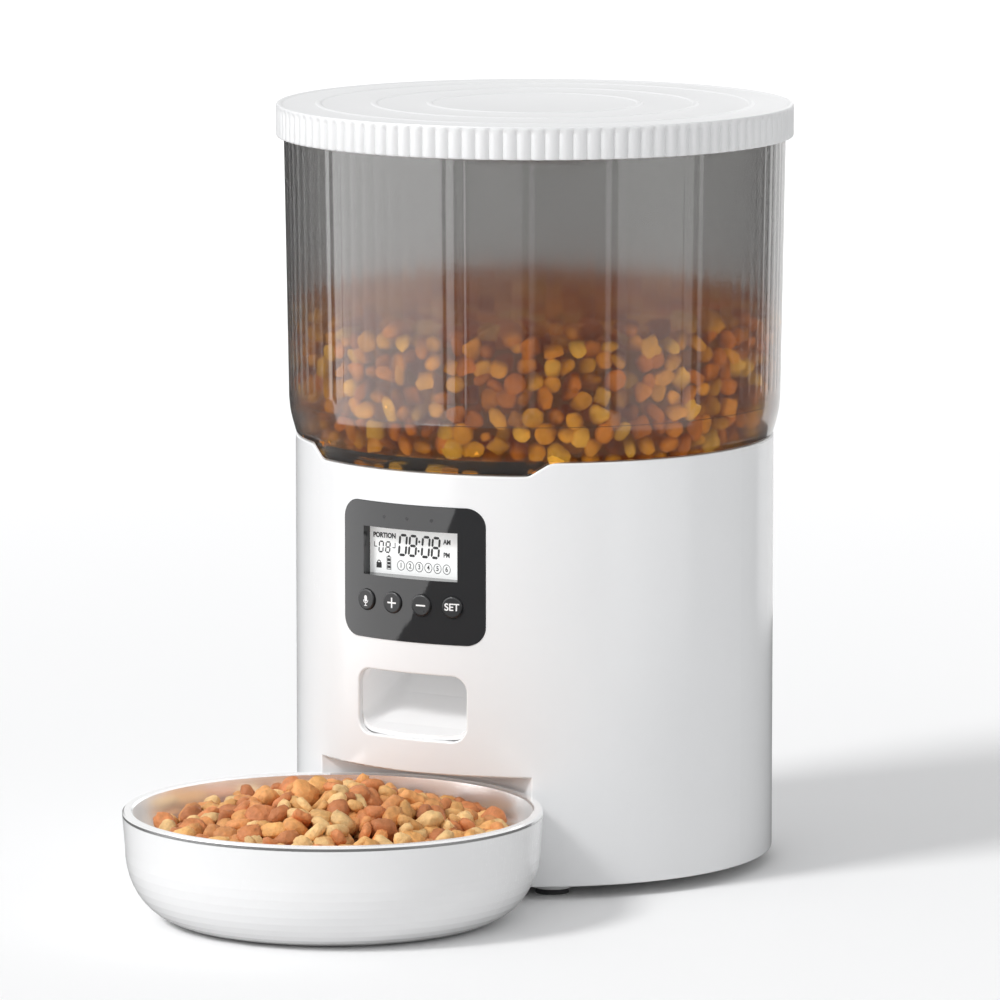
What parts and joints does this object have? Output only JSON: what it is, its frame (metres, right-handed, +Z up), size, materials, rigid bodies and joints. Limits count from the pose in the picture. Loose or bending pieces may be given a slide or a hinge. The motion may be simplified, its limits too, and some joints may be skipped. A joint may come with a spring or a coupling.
{
  "type": "automatic pet feeder",
  "caption": "Free-standing automatic dry-food feeder: round white body with control panel and chute, smoked hopper with ribbed lid, and a steel bowl in a white tray in front.",
  "frame": {"origin": "on the floor, under the middle of the whole outline (lid at the back, bowl at the front)", "axes": "+Z up, front (panel and bowl) towards -Y, +X to the viewer's right when facing the front"},
  "size_m": [0.2, 0.3244, 0.2954],
  "materials": {
    "white_gloss": "glossy white ABS",
    "white_satin": "satin white moulding",
    "smoked_clear": "smoked, slightly frosted clear plastic",
    "silicone": "soft white silicone",
    "sachet": "non-woven sachet",
    "dark_rubber": "matt",
    "grey_plastic": "satin",
    "gear_plastic": "natural acetal",
    "steel": "zinc plated",
    "motor_steel": "plain",
    "dark_gloss": "glossy dark grey",
    "black_plastic": "matt black",
    "light_pipe": "clear light pipe",
    "lcd_glass": "grey display glass",
    "circuit_board": "green solder mask",
    "speaker_frame": "black",
    "cell_sleeve": "printed sleeve",
    "contact_metal": "nickel plated",
    "bowl_steel": "polished stainless steel",
    "dark_button": "glossy dark grey"
  },
  "bodies": {
    "base": {"body_shell": "white_gloss", "base_plate": "white_satin", "foot_pads": "dark_rubber", "inner_deck": "white_satin", "portion_baffle": "grey_plastic", "motor": "motor_steel", "gearbox_housing": "white_satin", "chute": "white_gloss", "panel_bezel": "dark_gloss", "tact_switches": "black_plastic", "indicator_lights": "light_pipe", "lcd_panel": "lcd_glass", "lcd_backlight": "white_satin", "control_board": "circuit_board", "panel_screws": "steel", "main_board": "circuit_board", "power_jack": "black_plastic", "speaker": "speaker_frame", "battery_box": "white_satin", "battery_cells": "cell_sleeve", "battery_contacts": "contact_metal", "deck_screws": "steel", "base_screws": "steel", "gearbox_screws": "steel", "chute_screws": "steel", "baffle_screws": "steel", "motor_screws": "steel"},
    "hopper": {"hopper": "smoked_clear"},
    "lid": {"lid": "white_gloss", "lid_seal": "silicone"},
    "desiccant": {"desiccant_cup": "white_satin", "desiccant_bag": "sachet"},
    "rotor": {"rotor": "grey_plastic", "agitator": "grey_plastic", "drive_shaft": "steel", "output_gear": "gear_plastic"},
    "idler": {"idler_gear": "gear_plastic"},
    "pinion": {"motor_pinion": "gear_plastic"},
    "tray": {"tray": "white_gloss"},
    "steel_bowl": {"steel_bowl": "bowl_steel"},
    "battery_door": {"battery_door": "white_satin"},
    "record_button": {"record_button": "dark_button"},
    "plus_button": {"plus_button": "dark_button"},
    "minus_button": {"minus_button": "dark_button"},
    "set_button": {"set_button": "dark_button"}
  },
  "joints": [
    {"name": "hopper_lift", "type": "slide", "parent": "base", "child": "hopper", "axis": [0, 0, 1], "range_m": [0, 0.075]},
    {"name": "lid_lift", "type": "slide", "parent": "hopper", "child": "lid", "axis": [0, 0, 1], "range_m": [0, 0.045]},
    {"name": "desiccant_twist", "type": "hinge", "parent": "lid", "child": "desiccant", "pos_m": [0, 0.06217, 0.283], "axis": [0, 0, 1], "range_deg": [0, 25]},
    {"name": "rotor_spin", "type": "hinge", "parent": "base", "child": "rotor", "pos_m": [0, 0.06217, 0.12], "axis": [0, 0, 1], "continuous": true},
    {"name": "idler_spin", "type": "hinge", "parent": "base", "child": "idler", "pos_m": [0, 0.08517, 0.1], "axis": [0, 0, 1], "continuous": true},
    {"name": "pinion_spin", "type": "hinge", "parent": "base", "child": "pinion", "pos_m": [0.02078, 0.09717, 0.096], "axis": [0, 0, 1], "continuous": true},
    {"name": "tray_slide", "type": "slide", "parent": "base", "child": "tray", "axis": [0, -1, 0], "range_m": [0, 0.06]},
    {"name": "bowl_lift", "type": "slide", "parent": "tray", "child": "steel_bowl", "axis": [0, 0, 1], "range_m": [0, 0.0052]},
    {"name": "door_slide", "type": "slide", "parent": "base", "child": "battery_door", "axis": [0, 1, 0], "range_m": [0, 0.008]},
    {"name": "record_press", "type": "slide", "parent": "base", "child": "record_button", "axis": [0.2056, 0.9786, 0], "range_m": [0, 0.0008], "stiffness_N_per_m": 500, "springref_m": -0.0006},
    {"name": "plus_press", "type": "slide", "parent": "base", "child": "plus_button", "axis": [0.069, 0.9976, 0], "range_m": [0, 0.0008], "stiffness_N_per_m": 500, "springref_m": -0.0006},
    {"name": "minus_press", "type": "slide", "parent": "base", "child": "minus_button", "axis": [-0.069, 0.9976, 0], "range_m": [0, 0.0008], "stiffness_N_per_m": 500, "springref_m": -0.0006},
    {"name": "set_press", "type": "slide", "parent": "base", "child": "set_button", "axis": [-0.2056, 0.9786, 0], "range_m": [0, 0.0008], "stiffness_N_per_m": 500, "springref_m": -0.0006}
  ],
  "couplings": [
    {"joint": "idler_spin", "follows": "rotor_spin", "ratio": -2.8333},
    {"joint": "pinion_spin", "follows": "rotor_spin", "ratio": 8.5}
  ]
}
